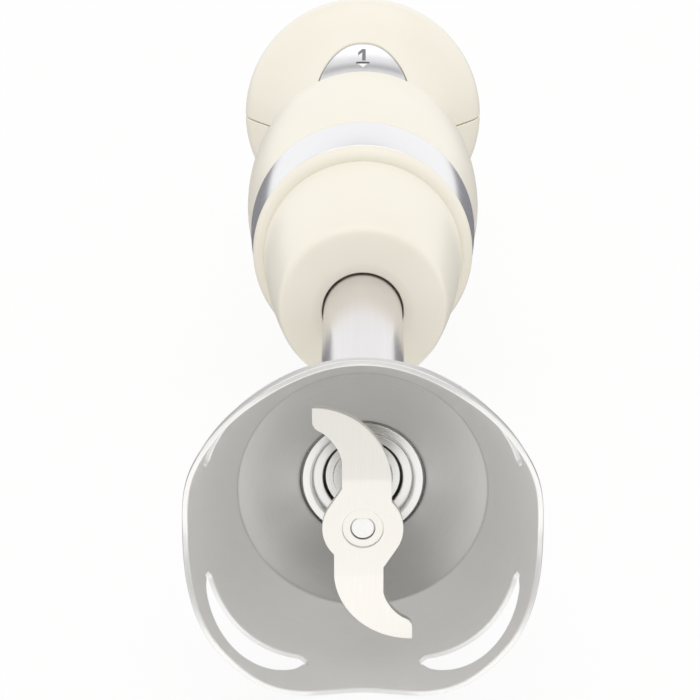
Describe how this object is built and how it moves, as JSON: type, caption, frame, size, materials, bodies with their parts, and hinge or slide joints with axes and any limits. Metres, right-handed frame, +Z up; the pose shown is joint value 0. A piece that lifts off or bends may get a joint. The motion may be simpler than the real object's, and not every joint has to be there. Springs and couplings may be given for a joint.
{
  "type": "immersion blender",
  "caption": "Cream hand blender with a waisted handle, chrome band, detachable steel wand and a slotted bell foot around a bent S-shaped blade.",
  "frame": {"origin": "middle of the box's underside, on the surface that the blender lies on", "axes": "+Y along the blender from the foot towards the cord inlet, +Z up through the buttons, +X to the right of someone who looks from the foot"},
  "size_m": [0.0712, 0.3472, 0.0712],
  "materials": {
    "cream_plastic": "satin moulded ABS, cream",
    "chrome_trim": "bright chrome plating on ABS",
    "silver_button": "silver lacquer on ABS",
    "brushed_stainless": "stainless sheet and tube, brushed",
    "turned_steel": "turned stainless steel",
    "blade_steel": "stamped stainless steel, fine ground",
    "spring_steel": "bright drawn steel",
    "plated_can": "zinc-plated deep-drawn steel",
    "dark_rubber": "moulded rubber, matt",
    "cream_rubber": "moulded elastomer in the handle's colour, matt",
    "black_plastic": "moulded glass-filled nylon, matt",
    "natural_plastic": "moulded acetal, natural",
    "circuit_board": "green solder mask on laminate",
    "component_case": "moulded component cases",
    "ferrite": "sintered ferrite",
    "laminations": "stacked silicon-steel laminations",
    "sintered_bronze": "sintered bronze, oil-filled",
    "brass": "pressed brass",
    "copper": "enamelled copper wire and copper bars",
    "carbon": "pressed carbon"
  },
  "bodies": {
    "handle": {"front_shell": "cream_plastic", "back_shell": "cream_plastic", "shell_screws": "spring_steel", "trim_band": "chrome_trim", "bayonet_ring": "cream_plastic", "cord_gland": "cream_rubber", "speed_spring": "spring_steel", "turbo_spring": "spring_steel", "speed_switch": "black_plastic", "turbo_switch": "black_plastic", "control_board": "circuit_board", "board_components": "component_case", "motor_can": "plated_can", "motor_magnets": "ferrite", "motor_end_cap": "black_plastic", "lower_motor_mount": "dark_rubber", "upper_motor_mount": "dark_rubber", "lower_bearing": "sintered_bronze", "upper_bearing": "sintered_bronze", "brush_holders": "brass", "carbon_brushes": "carbon", "brush_springs": "spring_steel"},
    "rotor": {"motor_shaft": "spring_steel", "armature_core": "laminations", "armature_windings": "copper", "commutator": "copper", "cooling_fan": "natural_plastic", "drive_coupling": "natural_plastic"},
    "spindle": {"spindle": "turned_steel", "spindle_clip": "spring_steel", "slinger": "turned_steel", "driven_coupling": "natural_plastic", "blade": "blade_steel"},
    "wand": {"wand_collar": "cream_plastic", "collar_seal": "dark_rubber", "wand_tube": "brushed_stainless", "upper_bush": "sintered_bronze", "lower_bush": "sintered_bronze", "shaft_seal": "dark_rubber", "bearing_housing": "turned_steel", "foot_bell": "brushed_stainless"},
    "speed_button": {"speed_button": "silver_button", "speed_plunger": "natural_plastic"},
    "turbo_button": {"turbo_button": "silver_button", "turbo_plunger": "natural_plastic"}
  },
  "joints": [
    {"name": "rotor_spin", "type": "hinge", "parent": "handle", "child": "rotor", "pos_m": [0, 0, 0.0356], "axis": [0, 1, 0], "continuous": true},
    {"name": "spindle_spin", "type": "hinge", "parent": "handle", "child": "spindle", "pos_m": [0, 0, 0.0356], "axis": [0, 1, 0], "continuous": true},
    {"name": "wand_twist", "type": "hinge", "parent": "handle", "child": "wand", "pos_m": [0, 0, 0.0356], "axis": [0, 1, 0], "range_deg": [0, 30]},
    {"name": "speed_press", "type": "slide", "parent": "handle", "child": "speed_button", "axis": [0, 0, -1], "range_m": [0, 0.0018], "stiffness_N_per_m": 900, "deforming": ["speed_spring"]},
    {"name": "turbo_press", "type": "slide", "parent": "handle", "child": "turbo_button", "axis": [0, 0, -1], "range_m": [0, 0.0018], "stiffness_N_per_m": 900, "deforming": ["turbo_spring"]}
  ],
  "couplings": [
    {"joint": "spindle_spin", "follows": "rotor_spin", "ratio": 1}
  ]
}
